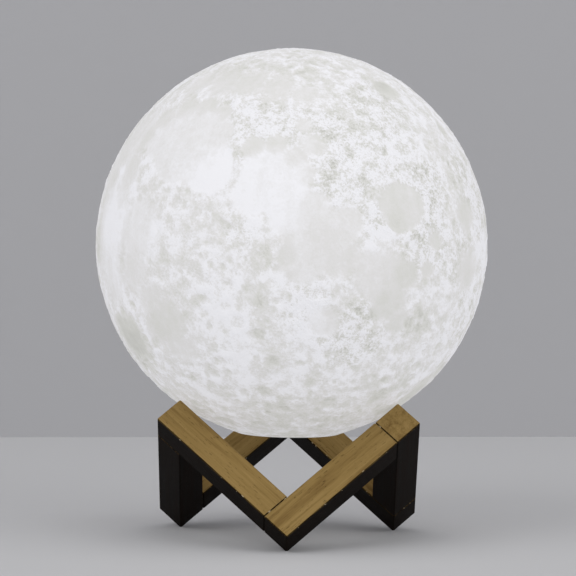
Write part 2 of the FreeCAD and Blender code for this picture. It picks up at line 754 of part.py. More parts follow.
def build_tube():
    body = new_body("battery_tube")
    profile = new_sketch(body, "profile", "XZ")
    draw_outline(profile, [
        ("tube_inner", "cup_height"), ("tube_outer", "cup_height"), ("tube_outer", "rim_top"),
        ("tube_inner", "rim_top"), ("tube_inner", "deck_top"), ("0", "deck_top"),
        ("0", "deck_bottom"), ("tube_inner", "deck_bottom")])
    turn(body, profile)
    bosses = new_sketch(body, "bosses", "XY", "deck_bottom")
    pilots = new_sketch(body, "pilots", "XY", "deck_top")
    for side in ("", "-"):
        draw_circle(bosses, side + "boss_circle", "0", "boss_diameter / 2")
        draw_circle(pilots, side + "boss_circle", "0", "screw_radius + thread_gap")
    extrude(body, bosses, "boss_height", reverse=True)
    extrude(body, pilots, "deck_thickness + boss_height", "Pocket")
    passage = new_sketch(body, "passage", "XY", "deck_top")
    draw_slot(passage, "lead_circle", "2 * lead_spread + lead_diameter", "lead_diameter",
              "lead_notch_gap")
    extrude(body, passage, "deck_thickness", "Pocket")
    side = side_screw_sketch(body, "side")
    head = "tube_outer - tube_screw_recess"
    draw_outline(side, [
        ("tube_inner - tube_wall", "0"), ("tube_outer + tube_wall", "0"),
        ("tube_outer + tube_wall", "head_radius + thread_gap"),
        (head, "head_radius + thread_gap"), (head + " - sunk_height", "screw_radius + hole_gap"),
        ("tube_inner - tube_wall", "screw_radius + hole_gap")])
    repeat(body, [turn(body, side, "Groove", "H_Axis")], 2)


def build_light_chips():
    body = new_body("light_chips")
    middle = new_sketch(body, "middle", "XY", "light_board_top")
    draw_block(middle, "0", "0", "led_length", "led_width")
    extrude(body, middle, "led_height")
    outer = new_sketch(body, "outer", "XY", "light_board_top")
    draw_block(outer, "0", "led_circle", "led_length", "led_width")
    repeat(body, [extrude(body, outer, "led_height")], 6)


def build_dome():
    body = new_body("diffuser_dome")
    profile = new_sketch(body, "profile", "XZ")
    draw_outline(
        profile,
        [("skirt_outer", "skirt_bottom"), ("skirt_outer", "rim_top"), ("tube_outer", "rim_top"),
         ("tube_outer", "dome_base"), ("dome_outer", "dome_base"),
         ("0", "dome_base + dome_outer"), ("0", "dome_base + dome_inner"),
         ("dome_inner", "dome_base"), ("dome_inner", "skirt_bottom")],
        {4: ("dome_outer", "0", "dome_base"), 6: ("dome_inner", "0", "dome_base")})
    turn(body, profile)


def check_model():
    for thing in doc.Objects:
        if "Invalid" in thing.State or "Error" in thing.State:
            raise RuntimeError("%s did not build: %s" % (thing.Label, thing.State))
    for node in nodes:
        if node.Shape.isNull() or not node.Shape.isValid():
            raise RuntimeError("%s has no valid shape" % node.Label)


def main():
    fill_sheet()
    for third, name in enumerate(("stick_front_left", "stick_right", "stick_back_left")):
        build_rest_stick(name, third)
    for third, name in enumerate(("stick_front_right", "stick_back_right", "stick_left")):
        build_foot_stick(name, third)
    build_dowels()
    build_shell()
    build_seal()
    build_shell_screws()
    build_base()
    build_touch_ring()
    build_touch_contact()
    build_button()
    build_switch()
    build_socket()
    build_charge_light()
    build_round_board("control_board", "board_bottom", "board_radius", "post_circle")
    build_pan_screws("board_screws", "board_top", "post_circle")
    build_chips()
    build_cell()
    build_foam()
    build_leads()
    build_tube()
    build_round_board("light_board", "deck_top", "tube_inner - light_board_gap", "boss_circle")
    build_pan_screws("light_board_screws", "light_board_top", "boss_circle")
    build_light_chips()
    build_dome()
    build_tube_screws()
    doc.recompute()
    check_model()
    os.makedirs("parts", exist_ok=True)
    for node in nodes:
        node.Shape.exportStep("parts/%s.step" % node.Label)
        print("%-20s %2d solid(s) %10.1f mm3" % (
            node.Label, len(node.Shape.Solids), node.Shape.Volume))


main()
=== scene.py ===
import math
import random

import bpy
import numpy as np
from mathutils import Matrix, Vector, noise


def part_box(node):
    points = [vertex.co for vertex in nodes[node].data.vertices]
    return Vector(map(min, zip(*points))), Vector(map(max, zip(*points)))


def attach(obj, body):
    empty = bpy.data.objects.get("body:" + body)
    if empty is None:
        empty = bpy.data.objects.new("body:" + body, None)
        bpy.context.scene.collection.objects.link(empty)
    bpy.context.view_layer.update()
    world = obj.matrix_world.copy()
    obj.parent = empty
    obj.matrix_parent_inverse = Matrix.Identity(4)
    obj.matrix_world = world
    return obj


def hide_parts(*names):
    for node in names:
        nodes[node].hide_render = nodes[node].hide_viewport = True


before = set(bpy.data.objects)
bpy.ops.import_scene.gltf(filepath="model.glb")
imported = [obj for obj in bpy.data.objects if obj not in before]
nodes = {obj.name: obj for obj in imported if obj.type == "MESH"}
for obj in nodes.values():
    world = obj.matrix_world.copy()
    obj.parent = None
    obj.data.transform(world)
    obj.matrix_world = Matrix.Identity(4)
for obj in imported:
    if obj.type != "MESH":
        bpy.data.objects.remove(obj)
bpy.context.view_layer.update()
print("frame loaded,", len(nodes), "nodes")


def linear(hexColour):
    parts = [int(hexColour[i:i + 2], 16) / 255 for i in (1, 3, 5)]
    parts = [c / 12.92 if c <= 0.04045 else ((c + 0.055) / 1.055) ** 2.4 for c in parts]
    return (*parts, 1.0)


def addNode(tree, kind, inputs=None, stops=None, **settings):
    node = tree.nodes.new("ShaderNode" + kind)
    for name, value in settings.items():
        setattr(node, name, value)
    for socket, value in (inputs or {}).items():
        if isinstance(value, bpy.types.NodeSocket):
            tree.links.new(value, node.inputs[socket])
        else:
            node.inputs[socket].default_value = value
    if stops:  # colour ramp stops, each (place, hex colour)
        ramp = node.color_ramp.elements
        while len(ramp) < len(stops):
            ramp.new(0.5)
        for element, (place, colour) in zip(ramp, stops):
            element.position, element.color = place, linear(colour)
    return node


def newMaterial(name, **sockets):
    material = bpy.data.materials.new(name)
    material.use_nodes = True
    tree = material.node_tree
    shader = tree.nodes["Principled BSDF"]
    for socket, value in sockets.items():
        shader.inputs[socket.replace("_", " ")].default_value = value
    return material, tree, shader


def wear(name, material):
    node = nodes[name]
    node.data.materials.clear()
    node.data.materials.append(material)
    for polygon in node.data.polygons:
        polygon.material_index = 0


def deselect():
    if bpy.context.object and bpy.context.object.mode != "OBJECT":
        bpy.ops.object.mode_set(mode="OBJECT")
    bpy.ops.object.select_all(action="DESELECT")


deselect()

# camera, matched to the corners of the stand and the outline of the globe
photoCamera = {
    "lens": 333.06, "sensor": 36.0,  # millimetres
    "azimuth": 0.03, "elevation": 4.22, "roll": 0.97,  # degrees
    "aim": (0.0, 0.0, 0.090), "distance": 2.039,
    "right": -0.00106, "rise": 0.00539,  # shift of the camera in its own plane
    "nearest": 0.1, "farthest": 50.0,
}


def makeCamera():
    turn, lift, roll = (math.radians(photoCamera[k]) for k in ("azimuth", "elevation", "roll"))
    back = Vector((math.sin(turn) * math.cos(lift), -math.cos(turn) * math.cos(lift), math.sin(lift)))
    across = Vector((math.cos(turn), math.sin(turn), 0))
    up = across.cross(-back)
    right = across * math.cos(roll) + up * math.sin(roll)
    top = up * math.cos(roll) - across * math.sin(roll)
    place = (Vector(photoCamera["aim"]) + back * photoCamera["distance"]
             + right * photoCamera["right"] + top * photoCamera["rise"])
    data = bpy.data.cameras.new("photoCamera")
    data.lens, data.sensor_width, data.sensor_fit = photoCamera["lens"], photoCamera["sensor"], "HORIZONTAL"
    data.clip_start, data.clip_end = photoCamera["nearest"], photoCamera["farthest"]
    camera = bpy.data.objects.new("photoCamera", data)
    bpy.context.scene.collection.objects.link(camera)
    camera.matrix_world = Matrix.Translation(place) @ Matrix((right, top, back)).transposed().to_4x4()
    bpy.context.scene.camera = camera


makeCamera()
print("camera set")

# floor, wall and lights
stage = {
    "floorColour": "#C6C6C8", "wallColour": "#B4B4B7",
    "wallDistance": 0.374, "wallTurn": 9.8,  # puts the line between floor and wall where the photograph has it
    "reach": 6.0, "height": 3.0, "roughness": 0.9, "gloss": 0.1,
    "worldColour": "#FFFFFF", "worldStrength": 0.80, "backgroundColour": "#B4B4B7",
    "lampAim": (0.0, 0.0, 0.08),
}
lamps = {  # place, size and power of each soft light
    "keyLight": ((-1.3, -1.7, 2.1), 1.6, 13.0),
    "fillLight": ((1.6, -1.5, 1.1), 1.8, 7.0),
    "rearLight": ((0.3, 0.25, 2.4), 1.2, 4.0),
}


def stagePaint(name, colour):
    material, tree, shader = newMaterial(name, Roughness=stage["roughness"], Specular_IOR_Level=stage["gloss"],
                                         Base_Color=linear(colour))
    # the back of it is clear, so the object shows from below and from behind
    clear = addNode(tree, "BsdfTransparent")
    side = addNode(tree, "NewGeometry")
    both = addNode(tree, "MixShader", {0: side.outputs["Backfacing"], 1: shader.outputs[0],
                                       2: clear.outputs[0]})
    tree.links.new(both.outputs[0], tree.nodes["Material Output"].inputs["Surface"])
    return material


def makeStage():
    reach, back = stage["reach"], stage["wallDistance"]
    bpy.ops.mesh.primitive_plane_add(size=1, location=(0, 0, 0))
    floor = bpy.context.object
    floor.name = "floor"
    floor.scale = (reach * 2, reach * 2, 1)
    bpy.ops.object.transform_apply(scale=True)
    floor.data.materials.append(stagePaint("paleFloorPaint", stage["floorColour"]))
    bpy.ops.mesh.primitive_plane_add(size=1, location=(0, back, stage["height"] / 2),
                                     rotation=(math.pi / 2, 0, math.radians(stage["wallTurn"])))
    wall = bpy.context.object
    wall.name = "wall"
    wall.scale = (reach * 2, stage["height"], 1)
    bpy.ops.object.transform_apply(rotation=True, scale=True)
    wall.data.materials.append(stagePaint("paleWallPaint", stage["wallColour"]))
    world = bpy.data.worlds.new("studio")
    bpy.context.scene.world = world
    world.use_nodes = True
    tree = world.node_tree
    light = tree.nodes["Background"]
    light.inputs[0].default_value = linear(stage["worldColour"])
    light.inputs[1].default_value = stage["worldStrength"]
    # the grey background is for the camera, reflections and clear pieces; the white one only lights
    seen = addNode(tree, "Background", {0: linear(stage["backgroundColour"]), 1: 1.0})
    path = addNode(tree, "LightPath").outputs
    mirrored = addNode(tree, "Math", {0: path["Is Glossy Ray"], 1: path["Is Transmission Ray"]},
                       operation="MAXIMUM")
    looked = addNode(tree, "Math", {0: path["Is Camera Ray"], 1: mirrored.outputs[0]}, operation="MAXIMUM")
    both = addNode(tree, "MixShader", {0: looked.outputs[0], 1: light.outputs[0], 2: seen.outputs[0]})
    tree.links.new(both.outputs[0], tree.nodes["World Output"].inputs["Surface"])
    for name, (place, size, power) in lamps.items():
        data = bpy.data.lights.new(name, "AREA")
        data.shape, data.size, data.energy = "DISK", size, power
        lamp = bpy.data.objects.new(name, data)
        bpy.context.scene.collection.objects.link(lamp)
        lamp.location = place
        aim = Vector(stage["lampAim"]) - Vector(place)
        lamp.rotation_euler = aim.to_track_quat("-Z", "Y").to_euler()


makeStage()
bpy.context.scene.view_settings.view_transform = "Standard"
print("stage and lights set")

# globe
moon = {
    "radius": 0.075, "wall": 0.0022,
    "segments": 104, "rings": 52, "cuts": 3, "innerSegments": 96, "innerRings": 48,
    "faceSetback": 0.0004,         # the base's face sits this far inside the mouth
    "ledgeHeight": 0.0032, "ledgeTop": 0.0082,  # above the base's face
    "ledgeBore": 0.0149, "neckRadius": 0.0225, "neckBlend": 0.0245,
    "turn": (3.88, 0.16, -23.23),  # tilt, lean and turn of the lunar map, degrees
    "relief": 0.00110,             # deepest relief cut into the 2.2 mm wall
    "groundBelow": 99.5,           # percent of the ground that lies inside the globe's full radius
    "plainRim": 0.0012,            # the relief fades in over this height above the mouth
    "insideTone": 0.5, "smoothAngle": 50,
}
lowest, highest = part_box("moon_shell")
moon["centre"] = Vector((0, 0, highest.z - moon["radius"]))
moon["rimHeight"] = lowest.z

# how pale a sea's floor is (0 dark, 1 white), and how much a mark changes the ground
seaLevels = {"dark": 0.54, "grey": 0.66, "mid": 0.76, "pale": 0.86, "white": 0.96}
markLevels = {"dark": -0.20, "dim": -0.12, "pale": 0.10, "bright": 0.18}

# seas of the real Moon: how soft the shore is, then spots of latitude, longitude, radius in degrees and level
seas = {
    "crises": (0.05, [(17.6, 58.4, 7.6, "grey"), (14, 56, 4, "dark")]),
    "serenity": (0.05, [(27.5, 17, 10.2, "white"), (21, 11, 6, "white"), (36, 9, 3.4, "grey"),
                        (37, 17, 3.4, "grey"), (33, 24, 3.6, "grey"), (28, 27, 3.4, "mid")]),
    "showers": (0.05, [(36, -17, 13.5, "pale"), (38, -31, 9, "pale"), (42, -12, 6, "pale"),
                       (29, -6, 8, "white"), (36, -42, 3.6, "grey"), (42, -38, 4, "grey"), (47, -29, 4, "grey"),
                       (49, -19, 3.6, "grey"), (47, -9, 3.2, "grey"), (41, -4, 3, "mid")]),
    "tranquility": (0.20, [(9, 30, 9.5, "mid"), (13, 39, 5.5, "mid"), (3, 26, 7, "mid"), (17, 29, 6, "pale"),
                           (4, 37, 6, "mid"), (15, 21, 5, "white")]),
    "fertility": (0.22, [(-2, 50, 8, "mid"), (-10, 53, 6, "grey"), (2, 45, 4, "mid"), (-2, 58, 4, "dark"),
                         (-16, 57, 3.5, "grey")]),
    "nectar": (0.22, [(-15, 33.5, 4.6, "mid")]),
    "clouds": (0.45, [(-17, -18, 8, "grey"), (-12, -24, 6, "mid"), (-26, -14, 5, "mid")]),
    "moisture": (0.35, [(-25, -40, 7, "dark")]),
    "storms": (0.40, [(22, -50, 12, "mid"), (8, -46, 12, "pale"), (34, -50, 9, "mid"), (-6, -44, 10, "pale"),
                      (8, -30, 10, "pale"), (-4, -30, 8, "mid")]),
    "cold": (0.55, [(57, -38, 5, "mid"), (59, -22, 6, "mid"), (60, -4, 6, "mid"), (58, 14, 6, "mid"),
                    (56, 28, 4, "mid")]),
    "waves": (0.40, [(7, 69, 3, "grey"), (-1, 66, 2.5, "grey"), (-2, 87, 6, "grey"), (13, 87, 5, "grey")]),
    "northEast": (0.30, [(57, 80, 4, "dark")]),
    "dreams": (0.40, [(37, 30, 4.5, "mid"), (44, 27, 2.5, "mid")]),
    "southern": (0.50, [(-44, 88, 5, "dark"), (-50, 96, 6, "dark"), (-38, 96, 4, "dark"),
                        (-52, 84, 4, "dark")]),
    "eastern": (0.20, [(-19.5, -94, 5, "dark"), (-14, -86, 2, "dark")]),
    "farSide": (0.25, [(27, 147, 4.4, "dark"), (-34, 163, 4, "dark"), (-20, 129, 2.4, "dark"),
                       (5, 141, 3, "grey"), (-57, 137, 4, "dark")]),
    "southPole": (0.55, [(-52, 170, 10, "grey"), (-42, -160, 9, "grey"), (-62, -165, 10, "grey"),
                         (-36, -152, 5, "dark")]),
}

# broad marks on the ground: level, then latitude, longitude and radius of each spot
marks = {
    "centralBand": ("dark", [(4, 15, 5), (-6, 15, 5), (-17, 15, 5), (-28, 17, 5)]),  # shade down the middle
    "betweenSeas": ("pale", [(24, -4, 9), (44, 6, 6)]),
    "westernGlow": ("bright", [(8, -45, 9)]),
    "westernLimb": ("dark", [(2, -58, 8)]),
    "islands": ("bright", [(-12, 4, 8), (-12, 26, 6), (10, 50, 5)]),                 # ground between the seas
    "southernGround": ("pale", [(-24, 4, 9), (-24, 32, 8), (-36, 24, 7)]),
    "southEast": ("dark", [(-19, 65, 6), (-41, 59, 7)]),
    "southWest": ("dark", [(-30, -42, 9)]),
    "farSouth": ("dim", [(-52, 18, 10)]),
    "farNorth": ("dim", [(68, 0, 11), (68, -28, 7), (70, 42, 7)]),
    "northEastFloors": ("dark", [(55, 54, 3), (48, 50, 4), (59, 82, 4)]),            # two dark crater floors
    "northEastGround": ("dim", [(40, 38, 6), (24, 70, 5), (25, 88, 7)]),
    "easternLimb": ("bright", [(3, 94, 8)]),
}

# rough high ground: latitude, longitude and radius in degrees, and how grainy it is
grainSpots = [
    (48, 10, 14, 0.75), (40, 35, 12, 0.85), (27, 40, 9, 0.9), (35, 55, 12, 0.8), (22, 68, 9, 1.0),
    (8, 66, 9, 1.0), (14, 48, 6, 0.8), (50, 65, 12, 0.7), (2, 82, 10, 0.6), (-9, 28, 7, 0.7),
    (-20, 42, 9, 0.9), (-14, 44, 6, 0.8), (22, -30, 5, 0.3), (10, 8, 5, 0.5), (32, 4, 5, 0.6),
    (18, 100, 14, 0.8), (-20, 100, 16, 0.6), (30, 130, 20, 0.8), (-10, 140, 22, 0.8), (10, 175, 24, 0.9),
    (-30, -170, 18, 0.7), (40, -160, 22, 0.8), (0, -130, 26, 0.8), (-45, -110, 18, 0.7),
    (50, -90, 18, 0.6), (-5, -75, 8, 0.5),
]

# craters with bright rays: latitude, longitude, core and ray length in degrees, strength
rayCraters = [
    (-43.3, -11.2, 2.6, 34, 0.30), (9.6, -20.1, 2.6, 13, 0.30), (8.1, -38.0, 1.6, 9, 0.28),
    (23.7, -47.5, 1.8, 8, 0.30), (16.1, 46.8, 1.2, 9, 0.28), (-8.9, 61.1, 2.2, 10, 0.20),
    (-33.0, 59.5, 1.2, 9, 0.22), (-11.4, 26.4, 2.0, 7, 0.16), (16.3, 16.0, 1.0, 5, 0.24),
    (-24.7, -63.8, 1.2, 8, 0.25), (33.9, 1.2, 1.4, 6, 0.20), (62.0, 84.0, 1.6, 12, 0.20),
    (-11.0, 74.0, 1.2, 8, 0.2), (19.0, 155.0, 1.5, 10, 0.25), (36.0, 103.0, 1.6, 14, 0.25),
    (-20.0, -128.0, 1.6, 12, 0.22), (-4.4, -157.0, 1.4, 9, 0.2), (44.0, -145.0, 1.4, 10, 0.22),
    (-60.0, 110.0, 1.6, 12, 0.2), (5.0, 118.0, 1.4, 12, 0.24),
]

# large craters: latitude, longitude, diameter in kilometres
largeCraters = [
    (-43.3, -11.2, 85), (-58.8, -14.1, 231), (9.6, -20.1, 96), (51.6, -9.3, 101), (-9.2, -1.8, 154),
    (-11.2, 4.1, 131), (-13.7, -3.2, 118), (-18.2, -1.9, 97), (-11.4, 26.4, 110), (-13.2, 24.0, 98),
    (-18.0, 23.6, 100), (-8.9, 60.9, 132), (-25.3, 60.4, 184), (-16.4, 61.6, 141), (-36.3, 60.4, 135),
    (-45.0, 40.3, 200), (-44.4, -55.1, 227), (-5.2, -68.6, 173), (-17.6, -40.1, 110), (-50.5, -6.3, 156),
    (-49.6, -21.8, 146), (-5.1, 5.2, 138), (-33.1, -4.8, 227), (-33.1, 1.0, 132), (-41.1, 6.0, 130),
    (-41.8, 14.0, 114), (-29.7, 32.2, 88), (-21.5, 33.2, 121), (27.7, 56.0, 131), (34.5, 56.7, 83),
    (39.2, 60.5, 122), (53.9, 57.0, 122), (46.7, 44.4, 88), (46.7, 39.1, 68), (31.8, 29.9, 96),
    (50.2, 17.3, 88), (44.3, 16.3, 70), (21.3, 46.0, 63), (35.9, 79.1, 171), (-27.2, 80.9, 199),
    (-66.8, -69.4, 301), (2.2, -67.6, 114), (-20.4, 129.1, 185), (-4.4, -157.4, 417), (1.4, -129.2, 536),
    (-36.1, -151.8, 524), (5.7, 140.9, 325), (-20.0, 149.2, 262), (10.2, 162.0, 160), (-18.0, 108.0, 151),
    (-19.3, 122.6, 241), (-57.9, 136.8, 314), (-75.0, 132.4, 316), (58.6, -145.9, 330),
    (45.5, 152.9, 222), (51.1, 164.8, 234), (55.9, 103.9, 164), (-39.0, 175.0, 200), (-5.0, 175.0, 160),
    (30.0, -170.0, 150), (20.0, -110.0, 160), (-45.0, -110.0, 180), (-30.0, -100.0, 140),
    (40.0, -115.0, 190), (65.0, -60.0, 130), (35.0, 125.0, 150), (15.0, 100.0, 140), (-10.0, 95.0, 160),
    (-60.0, 60.0, 140), (-70.0, 10.0, 150), (72.0, 20.0, 130), (75.0, -40.0, 120),
]

# noise over the globe: scale on a globe of radius 1, octaves, seed, strength as tone or as height in metres
lunarNoise = {
    "wander": (5.0, 4, 1, 0.26), "fray": (24.0, 3, 2, 0.16),         # edges of seas and marks
    "wide": (3.2, 3, 3, 0.10), "middling": (10.0, 3, 4, 0.10),       # tone of the high ground
    "swells": (2.2, 5, 5, 0.00010), "hills": (13.0, 4, 6, 0.00020),  # its height
    "streaks": (1.0, 3, 7, 0.11),                                    # along the meridians
    "flakes": (15.0, 5, 9, 1.0),                                     # on the high ground
    "bands": (1.0, 3, 12, 0.16),                                     # along the parallels in the south
}
ground = {
    "tone": 0.80, "grain": 0.26,           # of high ground away from every spot
    "firmShore": 0.3, "softShore": 1.6,    # how far noise moves a shore, and how much more a soft one
    "seaSpread": 1.6,                      # how soon a spot's tone gives way to its neighbour's
    "streakStretch": (11, 11, 2.4), "bandStretch": (5, 5, 34),
    "bandsFrom": 0.25, "bandsFull": 0.75,  # radians south of the equator
    "grainEdge": 1.5, "grainFull": 0.5,    # how ragged a rough spot is, and how much of its radius is full
    "grainFade": 2,                        # how soon it fades past that
    "flakeFrom": -0.42, "flakeTo": 0.30, "flakeLevel": 1.02,  # noise where a flake begins and is full
    "flakes": 0.07, "roughFlakes": 0.13,   # strength on plain ground, and what rough ground adds
    "seaDepth": 0.00024, "seaHills": 0.15,  # metres that seas lie lower, and the share of the hills they keep
}


def lunarTurn():
    tilt, lean, turn = (math.radians(a) for a in moon["turn"])
    return Matrix.Rotation(lean, 3, "Y") @ Matrix.Rotation(tilt, 3, "X") @ Matrix.Rotation(turn, 3, "Z")


def towards(latitude, longitude):
    la, lo = math.radians(latitude), math.radians(longitude)
    return np.array((math.cos(la) * math.sin(lo), -math.cos(la) * math.cos(lo), math.sin(la)))


def degreesFrom(directions, latitude, longitude):
    return np.degrees(np.arccos(np.clip(directions @ towards(latitude, longitude), -1, 1)))


def smooth(value, low, high):
    t = np.clip((value - low) / (high - low), 0, 1)
    return t * t * (3 - 2 * t)


def lunarField(directions, name):
    scale, octaves, seed, strength = lunarNoise[name]
    weaker, finer = 0.9, 2.1  # from one octave to the next
    shift = Vector((seed * 7.3, seed * 3.1, seed * 5.7))  # keeps the patterns apart
    values = [noise.fractal(Vector(d) * scale + shift, weaker, finer, octaves) for d in directions]
    return np.array(values) * strength


def seaCover(directions, wander):
    # how far each place lies in a sea, and the tone of the floor there
    ragged = wander + lunarField(directions, "fray")
    mask, tone = np.zeros(len(directions)), np.zeros(len(directions))
    weight = np.full(len(directions), 1e-6)  # never quite nothing, because it divides
    for soft, spots in seas.values():
        for latitude, longitude, radius, level in spots:
            near = degreesFrom(directions, latitude, longitude) / radius
            moved = ragged * (ground["firmShore"] + ground["softShore"] * soft)
            cover = 1 - smooth(near + moved, 1 - soft, 1 + soft)
            mask = np.maximum(mask, cover)
            share = np.exp(-near ** 2 * ground["seaSpread"]) * cover
            tone += share * seaLevels[level]
            weight += share
    return mask, tone / weight


def lunarMap(directions):
    wander = lunarField(directions, "wander")
    seaMask, seaTone = seaCover(directions, wander)
    tone = ground["tone"] + lunarField(directions, "wide") + lunarField(directions, "middling")
    tone = tone * (1 - seaMask) + seaTone * seaMask
    for level, spots in marks.values():
        for latitude, longitude, radius in spots:
            near = degreesFrom(directions, latitude, longitude) / radius
            tone += markLevels[level] * np.exp(-(near + wander) ** 2)
    longitudes = np.arctan2(directions[:, 0], -directions[:, 1])
    latitudes = np.arcsin(np.clip(directions[:, 2], -1, 1))
    drawn = np.stack((np.cos(longitudes), np.sin(longitudes), latitudes), axis=1) * ground["streakStretch"]
    tone += lunarField(drawn, "streaks") * np.cos(latitudes)
    grain = np.full(len(directions), ground["grain"])
    for latitude, longitude, radius, rough in grainSpots:
        near = degreesFrom(directions, latitude, longitude) / radius
        past = np.maximum(near + wander * ground["grainEdge"] - ground["grainFull"], 0)
        grain = np.maximum(grain, rough * np.exp(-past ** 2 * ground["grainFade"]))
    grain *= 1 - seaMask
    flakes = lunarField(directions, "flakes")
    flaky = 2 * smooth(flakes, ground["flakeFrom"], ground["flakeTo"]) - ground["flakeLevel"]
    tone += (ground["flakes"] + ground["roughFlakes"] * grain) * (1 - seaMask) * flaky
    bands = lunarField(directions * ground["bandStretch"], "bands")
    tone += bands * smooth(-latitudes, ground["bandsFrom"], ground["bandsFull"])
    addRays(directions, tone, wander)
    return tone, seaMask, grain


rays = {
    "count": 7, "bends": 3, "bend": 2.1, "narrow": 3,  # rays round a crater, how they wander, how thin
    "core": 1.3, "coreWidth": 0.75,                    # bright core: shares of its strength and radius
    "streak": 0.35, "fade": 0.45, "end": 1.6,          # rays: shares of the strength and of their length
}


def addRays(directions, tone, wander):
    for number, (latitude, longitude, core, reach, strength) in enumerate(rayCraters):
        centre = towards(latitude, longitude)
        away = degreesFrom(directions, latitude, longitude)
        side = np.cross(centre, (0.0, 0.0, 1.0))
        side /= np.linalg.norm(side)
        angle = np.arctan2(directions @ np.cross(centre, side), directions @ side)
        bent = angle * rays["count"] + rays["bend"] * np.sin(angle * rays["bends"] + number)
        fans = (0.5 + 0.5 * np.cos(bent)) ** rays["narrow"] * (1 + wander * 2)
        spot = rays["core"] * np.exp(-(away / (core * rays["coreWidth"])) ** 2)
        streak = rays["streak"] * fans * np.exp(-away / (reach * rays["fade"])) * (away < reach * rays["end"])
        tone += strength * (spot + streak)


craters = {
    "kmPerDegree": 30.32,                                # on the real Moon
    "small": 2600, "seed": 11,
    "smallest": 0.95, "spread": -0.42, "rarest": 0.02,   # degrees: many small ones and few large
    "shallow": 0.45,                                     # least depth of a small one, as a share
    "depth": 0.17, "deepest": 0.00052,                   # share of the radius, up to this many metres
    "flatFrom": 0.035, "flat": 0.62,                     # above this radius, in radians, the floor is flat
    "reach": 2.2, "rimAt": 1.04,                         # in radii from the centre
    "rim": 0.38, "rimWidth": 0.22,                       # raised rim, as a share of the depth
    "palerRim": 0.130, "palerWidth": 0.20, "darkerFloor": 0.125, "floorFrom": 0.95, "floorFull": 0.55,
    "drowned": 0.75,                                     # how much of a small one a sea hides
}


def craterList():
    rng = random.Random(craters["seed"])
    found = []
    for latitude, longitude, across in largeCraters:
        radius = across / craters["kmPerDegree"] / 2
        found.append((towards(latitude, longitude), math.radians(radius), 1.0))
    for _ in range(craters["small"]):
        z, around = rng.uniform(-1, 1), rng.uniform(0, 2 * math.pi)
        flat = math.sqrt(1 - z * z)
        radius = craters["smallest"] * rng.uniform(craters["rarest"], 1) ** craters["spread"]
        place = np.array((flat * math.cos(around), flat * math.sin(around), z))
        found.append((place, math.radians(radius), rng.uniform(craters["shallow"], 1)))
    return found


def cutCraters(directions, seaMask, tone, height):
    for number, (centre, radius, depth) in enumerate(craterList()):
        aim = directions @ centre
        near = np.nonzero(aim > math.cos(radius * craters["reach"]))[0]
        if not len(near):
            continue
        away = np.arccos(np.clip(aim[near], -1, 1)) / radius
        small = number >= len(largeCraters)
        fresh = depth * (1 - craters["drowned"] * seaMask[near] * small)
        deep = min(craters["depth"] * (radius * moon["radius"]), craters["deepest"])
        bowl = np.where(away < 1, (away ** 2 - 1) * deep, 0)
        floor = np.maximum(bowl, -deep * (craters["flat"] if radius > craters["flatFrom"] else 1.0))
        rim = craters["rim"] * deep * np.exp(-((away - craters["rimAt"]) / craters["rimWidth"]) ** 2)
        height[near] += (floor + rim) * fresh
        pale = craters["palerRim"] * np.exp(-((away - craters["rimAt"]) / craters["palerWidth"]) ** 2)
        dark = craters["darkerFloor"] * (1 - smooth(away, craters["floorFull"], craters["floorFrom"]))
        tone[near] += fresh * (pale - dark)


def lunarRelief(directions):
    tone, seaMask, grain = lunarMap(directions)
    hilly = ground["seaHills"] + (1 - ground["seaHills"]) * (1 - seaMask)
    height = lunarField(directions, "swells") + lunarField(directions, "hills") * hilly
    height -= ground["seaDepth"] * seaMask
    cutCraters(directions, seaMask, tone, height)
    return tone, grain, height


def ringSelect(mesh, test):
    bpy.ops.object.mode_set(mode="OBJECT")
    for part in (mesh.vertices, mesh.edges, mesh.polygons):
        for item in part:
            item.select = False
    for vertex in mesh.vertices:
        vertex.select = bool(test(vertex.co))
    for edge in mesh.edges:
        edge.select = all(mesh.vertices[i].select for i in edge.vertices)
    bpy.ops.object.mode_set(mode="EDIT")


